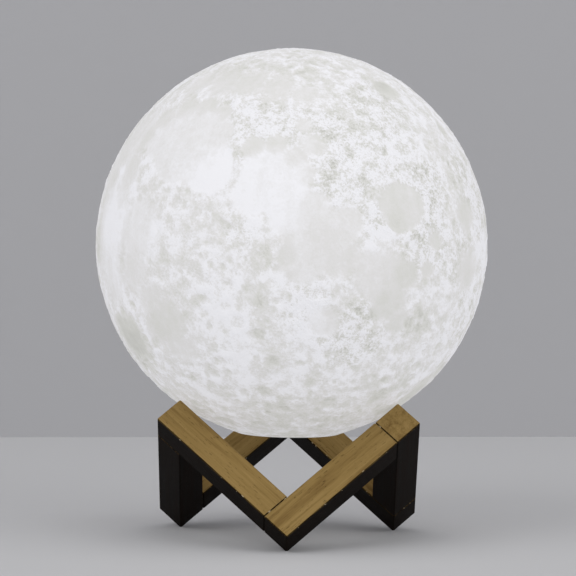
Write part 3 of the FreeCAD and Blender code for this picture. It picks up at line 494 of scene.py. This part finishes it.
def makeMoon():
    centre, radius = moon["centre"], moon["radius"]
    rim, face = moon["rimHeight"], moon["rimHeight"] + moon["faceSetback"]
    closeHeight, closeRadius = 1e-6, 1e-4  # a ring's points are found by height and radius, within these
    bpy.ops.mesh.primitive_uv_sphere_add(segments=moon["segments"], ring_count=moon["rings"], radius=radius,
                                         location=centre)
    globe = bpy.context.object
    globe.name = "moonGlobe"
    bpy.ops.object.transform_apply(location=True)
    bpy.ops.object.mode_set(mode="EDIT")
    bpy.ops.mesh.select_mode(type="VERT")
    bpy.ops.mesh.select_all(action="SELECT")
    bpy.ops.mesh.subdivide(number_cuts=moon["cuts"])
    bpy.ops.transform.tosphere(value=1.0)
    bpy.ops.object.mode_set(mode="OBJECT")
    swollen = radius / (globe.data.vertices[0].co - centre).length
    bpy.ops.object.mode_set(mode="EDIT")
    bpy.ops.transform.resize(value=(swollen, swollen, swollen), center_override=centre)
    bpy.ops.mesh.bisect(plane_co=(0, 0, rim), plane_no=(0, 0, 1), clear_inner=True)
    # mouth: straight wall, ledge for the base, bore and top of the neck
    ringSelect(globe.data, lambda co: co.z < rim + closeHeight)
    mouthRadius = math.sqrt(radius ** 2 - (centre.z - rim) ** 2)
    ledge, neck = face + moon["ledgeHeight"], face + moon["ledgeTop"]
    steps = [(mouthRadius, ledge), (moon["ledgeBore"], ledge), (moon["ledgeBore"], neck),
             (moon["neckRadius"], neck)]
    wide, high = mouthRadius, rim
    for nextWide, nextHigh in steps:
        bpy.ops.mesh.extrude_region_move(TRANSFORM_OT_translate={"value": (0, 0, nextHigh - high)})
        bpy.ops.transform.resize(value=(nextWide / wide, nextWide / wide, 1), center_override=(0, 0, nextHigh))
        wide, high = nextWide, nextHigh
    deselect()
    # inner wall, open where it meets the neck
    inside = radius - moon["wall"]
    bpy.ops.mesh.primitive_uv_sphere_add(segments=moon["innerSegments"], ring_count=moon["innerRings"],
                                         radius=inside, location=centre)
    bpy.ops.object.transform_apply(location=True)
    innerCut = centre.z - math.sqrt(inside ** 2 - moon["neckBlend"] ** 2)
    bpy.ops.object.mode_set(mode="EDIT")
    bpy.ops.mesh.select_all(action="SELECT")
    bpy.ops.mesh.bisect(plane_co=(0, 0, innerCut), plane_no=(0, 0, 1), clear_inner=True)
    bpy.ops.mesh.select_all(action="SELECT")
    bpy.ops.mesh.flip_normals()
    bpy.ops.object.mode_set(mode="OBJECT")
    globe.select_set(True)
    bpy.context.view_layer.objects.active = globe
    bpy.ops.object.join()
    rings = ((high, wide), (innerCut, moon["neckBlend"]))
    ringSelect(globe.data, lambda co: any(abs(co.z - ringHigh) < closeHeight
                                          and abs(math.hypot(co.x, co.y) - ringWide) < closeRadius
                                          for ringHigh, ringWide in rings))
    bpy.ops.mesh.bridge_edge_loops()
    bpy.ops.mesh.select_all(action="SELECT")
    bpy.ops.mesh.normals_make_consistent(inside=False)
    bpy.ops.object.mode_set(mode="OBJECT")
    carveMoon(globe)
    bpy.ops.object.shade_smooth_by_angle(angle=math.radians(moon["smoothAngle"]))
    return globe


def carveMoon(globe):
    mesh, centre, radius, rim = globe.data, np.array(moon["centre"]), moon["radius"], moon["rimHeight"]
    places = np.zeros(len(mesh.vertices) * 3)
    mesh.vertices.foreach_get("co", places)
    places = places.reshape(-1, 3)
    away = np.linalg.norm(places - centre, axis=1)
    outside = np.nonzero((away > radius - 1e-5) & (places[:, 2] > rim - 1e-6))[0]  # less a rounding error
    world = (places[outside] - centre) / away[outside, None]
    tone, grain, height = lunarRelief(world @ np.array(lunarTurn()))
    height -= np.percentile(height, moon["groundBelow"])
    height = np.clip(height, -moon["relief"], 0)
    fade = smooth(places[outside, 2], rim, rim + moon["plainRim"])
    places[outside] = centre + world * (radius + height * fade)[:, None]
    mesh.vertices.foreach_set("co", places.ravel())
    for name, values in (("moonTone", tone), ("moonGrain", grain)):
        layer = mesh.attributes.new(name, "FLOAT", "POINT")
        data = np.full(len(places), moon["insideTone"])
        data[outside] = np.clip(values, -1, 2)
        layer.data.foreach_set("value", data)
    mesh.update()


moonLook = {
    "lit": ["#BABAB5", "#C7C7C2", "#D6D6D2", "#DFDEDE", "#EDEDF1"],  # thick wall to thin wall, as it shows lit
    "levels": [0.0, 0.27, 0.54, 0.76, 1.0],
    "unlit": 0.46,                   # how pale the plastic is beside its lit look
    "glow": 0.61, "roughness": (0.52, 0.72), "bump": 0.0004, "bumpStrength": 0.8,
    "flakeShare": (0.44, 0.05),      # strength of the fine relief: by how rough the ground is, and everywhere
    "pitShare": (0.44, 0.03),
    "pits": (0.0021, 0.0044),        # cells of the two sizes of small crater, metres
    "pitTones": [(0.14, "#787878"), (0.27, "#F0F0F0"), (0.33, "#E8E8E8"), (0.42, "#BCBCBC")],  # floor to ground
    "pitGround": 0.503,              # the last of these tones as light, so that it changes nothing
    "pitChance": 0.5,                # share of the cells that stay plain
    "stir": 0.0016,                  # metres that keep the small craters from being round
    "shadeFrom": 0.040, "shadeTo": 0.074, "shade": -0.08,  # heights in metres, and change of tone
}
# fine relief: size in metres, detail, roughness and distortion of its noise, the part used, the tones it gives
fineRelief = {
    "flake": (0.0046, 6.0, 0.74, 0.3, (0.36, 0.60), (-0.62, 0.46)),
    "pore": (0.0009, 2.0, 0.70, 0.0, (0.35, 0.60), (-0.52, 0.50)),
    "speck": (0.0027, 2.5, 0.60, 0.6, (0.53, 0.58), (-0.22, 0.44)),
}


def lunarPla():
    # white PLA, printed with a lunar relief and lit from inside: thin places glow, thick ones are grey
    material, tree, shader = newMaterial("printedWhitePla", IOR=1.46, Specular_IOR_Level=0.3,
                                         Emission_Strength=moonLook["glow"])
    here = addNode(tree, "TexCoord").outputs["Object"]
    tone = addNode(tree, "Attribute", attribute_name="moonTone").outputs["Fac"]
    grain = addNode(tree, "Attribute", attribute_name="moonGrain").outputs["Fac"]
    shares = {}
    for part in ("flakeShare", "pitShare"):
        byGrain, everywhere = moonLook[part]
        shares[part] = addNode(tree, "Math", {0: grain, 1: byGrain, 2: everywhere},
                               operation="MULTIPLY_ADD").outputs[0]
    fine, clouds = 0.0, {}
    for part, (size, detail, rough, distortion, used, given) in fineRelief.items():
        clouds[part] = addNode(tree, "TexNoise", {"Vector": here, "Scale": 1 / size, "Detail": detail,
                                                  "Roughness": rough, "Distortion": distortion}).outputs["Fac"]
        change = addNode(tree, "MapRange", {"Value": clouds[part], "From Min": used[0], "From Max": used[1],
                                            "To Min": given[0], "To Max": given[1]}).outputs[0]
        fine = addNode(tree, "Math", {0: change, 1: shares["flakeShare"], 2: fine},
                       operation="MULTIPLY_ADD").outputs[0]
    far = moonLook["stir"]
    stir = addNode(tree, "TexNoise", {"Vector": here, "Scale": 1 / far, "Detail": 1.0}).outputs["Color"]
    stirred = addNode(tree, "VectorMath", {0: stir, 1: (far, far, far), 2: here}, operation="MULTIPLY_ADD")
    for size in moonLook["pits"]:  # small craters: a dark floor inside a pale rim, in about half of the cells
        cell = addNode(tree, "TexVoronoi", {"Vector": stirred.outputs[0], "Scale": 1 / size}).outputs
        ring = addNode(tree, "ValToRGB", {"Fac": cell["Distance"]}, stops=moonLook["pitTones"]).outputs["Color"]
        ring = addNode(tree, "Math", {0: ring, 1: moonLook["pitGround"]}, operation="SUBTRACT").outputs[0]
        lot = addNode(tree, "SeparateXYZ", {0: cell["Color"]}).outputs["X"]
        chance = addNode(tree, "Math", {0: lot, 1: moonLook["pitChance"]}, operation="GREATER_THAN").outputs[0]
        shown = addNode(tree, "Math", {0: chance, 1: shares["pitShare"]}, operation="MULTIPLY").outputs[0]
        fine = addNode(tree, "Math", {0: ring, 1: shown, 2: fine}, operation="MULTIPLY_ADD").outputs[0]
    toned = addNode(tree, "Math", {0: tone, 1: fine}, operation="ADD").outputs[0]
    # the base stands in the way of the light, so the lowest part is dimmer
    high = addNode(tree, "SeparateXYZ", {0: here}).outputs["Z"]
    low = addNode(tree, "MapRange", {"Value": high, "To Min": moonLook["shade"], "To Max": 0.0,
                                     "From Min": moonLook["shadeFrom"], "From Max": moonLook["shadeTo"]},
                  interpolation_type="SMOOTHSTEP")
    level = addNode(tree, "Math", {0: toned, 1: low.outputs[0]}, operation="ADD").outputs[0]
    stops = list(zip(moonLook["levels"], moonLook["lit"]))
    lit = addNode(tree, "ValToRGB", {"Fac": level}, stops=stops).outputs["Color"]
    unlit = addNode(tree, "Mix", {0: 1.0, 6: lit, 7: (*[moonLook["unlit"]] * 3, 1)}, data_type="RGBA",
                    blend_type="MULTIPLY").outputs[2]
    tree.links.new(lit, shader.inputs["Emission Color"])
    tree.links.new(unlit, shader.inputs["Base Color"])
    bump = addNode(tree, "Bump", {"Height": fine, "Distance": moonLook["bump"],
                                  "Strength": moonLook["bumpStrength"]})
    tree.links.new(bump.outputs["Normal"], shader.inputs["Normal"])
    smoothest, roughest = moonLook["roughness"]
    shine = addNode(tree, "MapRange", {"Value": clouds["flake"], "To Min": smoothest, "To Max": roughest})
    tree.links.new(shine.outputs[0], shader.inputs["Roughness"])
    return material


globe = makeMoon()
globe.data.materials.append(lunarPla())
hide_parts("moon_shell")
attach(globe, "moon")
print("globe made,", len(globe.data.polygons), "faces")

# sticks
stick = {
    "light": "#9A8050", "mid": "#8B7244", "streak": "#735A33", "pore": "#5C4727",
    # painted shade: the two near-black colours on the next line are shade painted on the faces that look down
    "paintedShade": "#0C0703", "paintedShadeRaised": "#190F09", "edgeFleck": "#B5A588",
    "streakSize": (0.034, 0.0016, 0.0016), "fibreSize": (0.011, 0.00042, 0.00042),
    "poreSize": (0.0026, 0.00034, 0.00034), "cloudSize": (0.060, 0.0070, 0.0070),  # along and across the grain
    "detail": {"streak": 4.0, "fibre": 3.0, "pore": 1.0, "cloud": 2.0},
    "grainRoughness": 0.6, "grainBend": 0.35,
    "fibreShare": 0.35, "cloudShare": 0.55,  # beside the streaks
    "oiledFrom": 0.68, "oiledTo": 1.24,      # noise from dark to light
    # the last two numbers on the next line place the two colours of the painted shade along the streaks
    "midAt": 0.42, "paintedShadeFrom": 0.35, "paintedShadeTo": 0.75,
    "poreFrom": 0.66, "poreTo": 0.74, "poreDepth": -0.8,
    "upperFrom": 0.20, "upperTo": 0.60,      # how far a face looks up where the painted shade ends and the oiled wood is full
    "raggedEdge": 0.5,                       # how far the fibres carry the oiled wood and the painted shade into each other
    "edgeFrom": 0.30, "edgeTo": 0.12,        # faces this near to upright can carry pale flecks
    "fleckFrom": 0.65, "fleckTo": 0.70, "fleckScale": 700.0,
    "roughness": (0.48, 0.66), "bump": 0.00009, "bumpStrength": 0.7,
}
cubeEdges = {
    "alongFirst": Vector((math.sqrt(1 / 2), math.sqrt(1 / 6), math.sqrt(1 / 3))),
    "alongSecond": Vector((-math.sqrt(1 / 2), math.sqrt(1 / 6), math.sqrt(1 / 3))),
    "alongThird": Vector((0, -2 * math.sqrt(1 / 6), math.sqrt(1 / 3))),
}
stickEdges = {
    "stick_front_left": "alongSecond", "stick_front_right": "alongFirst", "stick_right": "alongThird",
    "stick_left": "alongThird", "stick_back_right": "alongSecond", "stick_back_left": "alongFirst",
}


def sandedPine(name, along):
    # sanded pine, upper faces oiled and lower ones painted near black as painted shade: fine streaks and short
    # pores along the grain
    material, tree, shader = newMaterial(name, IOR=1.5, Specular_IOR_Level=0.04)
    across = along.cross(Vector((0.3, 0.5, 0.8))).normalized()  # from any line that isn't along the stick
    turn = Matrix((along, across, along.cross(across))).transposed().to_euler()
    here = addNode(tree, "TexCoord").outputs["Object"]
    grain = {}
    for part, detail in stick["detail"].items():
        turned = addNode(tree, "Mapping", {"Vector": here, "Rotation": turn, "Scale": stick[part + "Size"]},
                         vector_type="TEXTURE").outputs[0]
        grain[part] = addNode(tree, "TexNoise", {"Vector": turned, "Scale": 1.0, "Detail": detail,
                                                 "Roughness": stick["grainRoughness"],
                                                 "Distortion": stick["grainBend"]}).outputs["Fac"]
    blend = addNode(tree, "Math", {0: grain["fibre"], 1: stick["fibreShare"], 2: grain["streak"]},
                    operation="MULTIPLY_ADD").outputs[0]
    cloudy = addNode(tree, "Math", {0: grain["cloud"], 1: stick["cloudShare"], 2: blend},
                     operation="MULTIPLY_ADD").outputs[0]
    depth = addNode(tree, "MapRange", {"Value": cloudy, "From Min": stick["oiledFrom"],
                                       "From Max": stick["oiledTo"]})
    oiled = addNode(tree, "ValToRGB", {"Fac": depth.outputs[0]},
                    stops=[(0.0, stick["streak"]), (stick["midAt"], stick["mid"]), (1.0, stick["light"])])
    dash = addNode(tree, "MapRange", {"Value": grain["pore"], "From Min": stick["poreFrom"],
                                      "From Max": stick["poreTo"]}).outputs[0]
    pored = addNode(tree, "Mix", {0: dash, 6: oiled.outputs["Color"], 7: linear(stick["pore"])},
                    data_type="RGBA")
    # painted shade: near black, streaked along the grain, for the faces that look down
    paintedShadeTone = addNode(tree, "ValToRGB", {"Fac": grain["streak"]},
                      stops=[(stick["paintedShadeFrom"], stick["paintedShade"]), (stick["paintedShadeTo"], stick["paintedShadeRaised"])])
    # faces that look up show the oiled wood, and faces that look down show the painted shade
    facing = addNode(tree, "SeparateXYZ", {0: addNode(tree, "NewGeometry").outputs["Normal"]}).outputs["Z"]
    ragged = addNode(tree, "Math", {0: grain["fibre"], 1: stick["raggedEdge"], 2: facing},
                     operation="MULTIPLY_ADD").outputs[0]
    upper = addNode(tree, "MapRange", {"Value": ragged, "From Min": stick["upperFrom"],
                                       "From Max": stick["upperTo"]})
    painted = addNode(tree, "Mix", {0: upper.outputs[0], 6: paintedShadeTone.outputs["Color"], 7: pored.outputs[2]},
                      data_type="RGBA").outputs[2]
    # pale flecks along the edge between the oiled wood and the painted shade
    level = addNode(tree, "Math", {0: facing}, operation="ABSOLUTE").outputs[0]
    onEdge = addNode(tree, "MapRange", {"Value": level, "From Min": stick["edgeFrom"],
                                        "From Max": stick["edgeTo"]})
    specks = addNode(tree, "TexNoise", {"Vector": here, "Scale": stick["fleckScale"], "Detail": 1.0})
    flecked = addNode(tree, "MapRange", {"Value": specks.outputs["Fac"], "From Min": stick["fleckFrom"],
                                        "From Max": stick["fleckTo"]})
    fleck = addNode(tree, "Math", {0: onEdge.outputs[0], 1: flecked.outputs[0]}, operation="MULTIPLY").outputs[0]
    colour = addNode(tree, "Mix", {0: fleck, 6: painted, 7: linear(stick["edgeFleck"])}, data_type="RGBA")
    tree.links.new(colour.outputs[2], shader.inputs["Base Color"])
    smoothest, roughest = stick["roughness"]
    shine = addNode(tree, "MapRange", {"Value": grain["streak"], "To Min": smoothest, "To Max": roughest})
    tree.links.new(shine.outputs[0], shader.inputs["Roughness"])
    height = addNode(tree, "Math", {0: dash, 1: stick["poreDepth"], 2: blend}, operation="MULTIPLY_ADD")
    bump = addNode(tree, "Bump", {"Height": height.outputs[0], "Distance": stick["bump"],
                                  "Strength": stick["bumpStrength"]})
    tree.links.new(bump.outputs["Normal"], shader.inputs["Normal"])
    return material


pine = {edge: sandedPine("sandedPine" + edge[5:] + "Edge", along) for edge, along in cubeEdges.items()}
for name, edge in stickEdges.items():
    wear(name, pine[edge])
print("sticks finished")

# small pieces: colour, second colour, size of the pattern, roughness from and to, bump depth, metallic; metres
finishes = {
    "mouldedWhiteAbs": ("#DEDEDA", "#D2D2CD", 0.0006, 0.42, 0.55, 0.00002, 0.0),    # satin, spark-eroded
    "polishedWhiteAbs": ("#D6D6D3", "#CDCDC9", 0.0020, 0.20, 0.30, 0.000004, 0.0),  # rubbed bright by fingers
    "opalPolycarbonate": ("#E9E9E4", "#DFDFD8", 0.0015, 0.35, 0.45, 0.00001, 0.0),  # diffuser, milky
    "blackNylon": ("#15151A", "#202026", 0.0004, 0.45, 0.60, 0.00001, 0.0),         # tongue, switch, chips
    "closedCellFoam": ("#222224", "#101012", 0.0005, 0.85, 0.95, 0.00006, 0.0),     # black foam with tiny cells
    "solderMaskEpoxy": ("#0F4A22", "#0B3A1A", 0.0009, 0.30, 0.42, 0.00001, 0.0),    # green, glossy lacquer
    "blueShrinkWrap": ("#2C62A0", "#24528A", 0.0040, 0.22, 0.34, 0.00001, 0.0),     # film shrunk on the cell
    "redSilicone": ("#9A1B16", "#86140F", 0.0010, 0.40, 0.52, 0.000005, 0.0),       # soft lead from the cell
    "blackSilicone": ("#1A1A1B", "#121213", 0.0010, 0.42, 0.55, 0.000005, 0.0),     # soft leads to the light
    "phosphorResin": ("#E8CF6A", "#DDBE4C", 0.0005, 0.30, 0.40, 0.00001, 0.0),      # yellow domes over diodes
    "clearAcrylic": ("#DDE3E6", "#D2DADF", 0.0012, 0.08, 0.16, 0.000002, 0.0),      # light pipe, polished ends
    "coatedAluminium": ("#DADBD8", "#CFD0CD", 0.0010, 0.35, 0.45, 0.00001, 0.0),    # white lacquer on aluminium
    "rolledNickel": ("#B9B6AE", "#A7A49B", 0.0012, 0.28, 0.40, 0.000004, 1.0),      # spot-welded strip
    "tinnedSteel": ("#BDBDC0", "#A9A9AD", 0.0010, 0.24, 0.36, 0.000004, 1.0),       # folded socket shell
    "zincPlatedSteel": ("#B4B6BA", "#9C9EA4", 0.0006, 0.26, 0.42, 0.000006, 1.0),   # screws
    "drawnBrass": ("#C9A457", "#B48E42", 0.0008, 0.22, 0.34, 0.000004, 1.0),        # sprung pin, bright
    "beechDowel": ("#C2A170", "#AD8A5A", 0.0011, 0.60, 0.75, 0.00004, 0.0),         # plain turned dowels
}
wornBy = {
    "module_base": "mouldedWhiteAbs", "battery_tube": "mouldedWhiteAbs", "power_button": "polishedWhiteAbs",
    "diffuser_dome": "opalPolycarbonate", "button_switch": "blackNylon", "socket_tongue": "blackNylon",
    "controller_chips": "blackNylon", "seal_ring": "closedCellFoam", "foam_rings": "closedCellFoam",
    "control_board": "solderMaskEpoxy", "battery_cell": "blueShrinkWrap", "battery_leads": "redSilicone",
    "light_leads": "blackSilicone", "light_chips": "phosphorResin", "charge_led": "phosphorResin",
    "light_pipe": "clearAcrylic", "light_board": "coatedAluminium", "cell_tabs": "rolledNickel",
    "charging_socket": "tinnedSteel", "shell_screws": "zincPlatedSteel", "board_screws": "zincPlatedSteel",
    "light_board_screws": "zincPlatedSteel", "tube_screws": "zincPlatedSteel", "touch_contact": "drawnBrass",
    "stick_dowels": "beechDowel",
}


smallPattern = {
    "cloud": 0.12, "fine": 0.5,          # clouds are about eight pattern sizes across, the texture two
    "tintFrom": 0.15, "tintTo": 0.38,    # noise where the second colour is pure, and where the first is
    "shineFrom": 0.3, "shineTo": 0.7,
}


def smallFinish(name):
    colour, second, size, smoothest, roughest, depth, metal = finishes[name]
    material, tree, shader = newMaterial(name, Metallic=metal)
    here = addNode(tree, "TexCoord").outputs["Object"]
    coarse, close = smallPattern["cloud"] / size, smallPattern["fine"] / size
    cloud = addNode(tree, "TexNoise", {"Vector": here, "Scale": coarse, "Detail": 3.0}).outputs["Fac"]
    fine = addNode(tree, "TexNoise", {"Vector": here, "Scale": close, "Detail": 2.0}).outputs["Fac"]
    mixed = addNode(tree, "Math", {0: cloud, 1: fine}, operation="MULTIPLY")
    tint = addNode(tree, "ValToRGB", {"Fac": mixed.outputs[0]},
                   stops=[(smallPattern["tintFrom"], second), (smallPattern["tintTo"], colour)])
    tree.links.new(tint.outputs["Color"], shader.inputs["Base Color"])
    shine = addNode(tree, "MapRange", {"Value": cloud, "From Min": smallPattern["shineFrom"],
                                       "From Max": smallPattern["shineTo"], "To Min": smoothest,
                                       "To Max": roughest})
    tree.links.new(shine.outputs[0], shader.inputs["Roughness"])
    bump = addNode(tree, "Bump", {"Height": fine, "Distance": depth, "Strength": 1.0})
    tree.links.new(bump.outputs["Normal"], shader.inputs["Normal"])
    return material


touchRing = {
    "dark": "#9D9EA1", "bright": "#C6C7C9", "circles": 4500.0,  # per metre of radius
    "roughness": (0.20, 0.38), "bump": 0.000012,
}


def turnedSteel():
    # stainless ring faced on a lathe: fine circles about the centre, bright and a little grey
    material, tree, shader = newMaterial("turnedStainless", Metallic=1.0)
    here = addNode(tree, "TexCoord").outputs["Object"]
    flat = addNode(tree, "VectorMath", {0: here, 1: (1, 1, 0)}, operation="MULTIPLY")
    radius = addNode(tree, "VectorMath", {0: flat.outputs[0]}, operation="LENGTH").outputs["Value"]
    spaced = addNode(tree, "Math", {0: radius, 1: touchRing["circles"]}, operation="MULTIPLY").outputs[0]
    lines = addNode(tree, "TexNoise", {"W": spaced, "Scale": 1.0, "Detail": 3.0},
                    noise_dimensions="1D").outputs["Fac"]
    stops = [(0.25, touchRing["dark"]), (0.75, touchRing["bright"])]
    tint = addNode(tree, "ValToRGB", {"Fac": lines}, stops=stops)
    tree.links.new(tint.outputs["Color"], shader.inputs["Base Color"])
    smoothest, roughest = touchRing["roughness"]
    shine = addNode(tree, "MapRange", {"Value": lines, "To Min": smoothest, "To Max": roughest})
    tree.links.new(shine.outputs[0], shader.inputs["Roughness"])
    bump = addNode(tree, "Bump", {"Height": lines, "Distance": touchRing["bump"], "Strength": 1.0})
    tree.links.new(bump.outputs["Normal"], shader.inputs["Normal"])
    return material


made = {name: smallFinish(name) for name in finishes}
for name, finish in wornBy.items():
    wear(name, made[finish])
wear("touch_ring", turnedSteel())
print("small pieces finished")
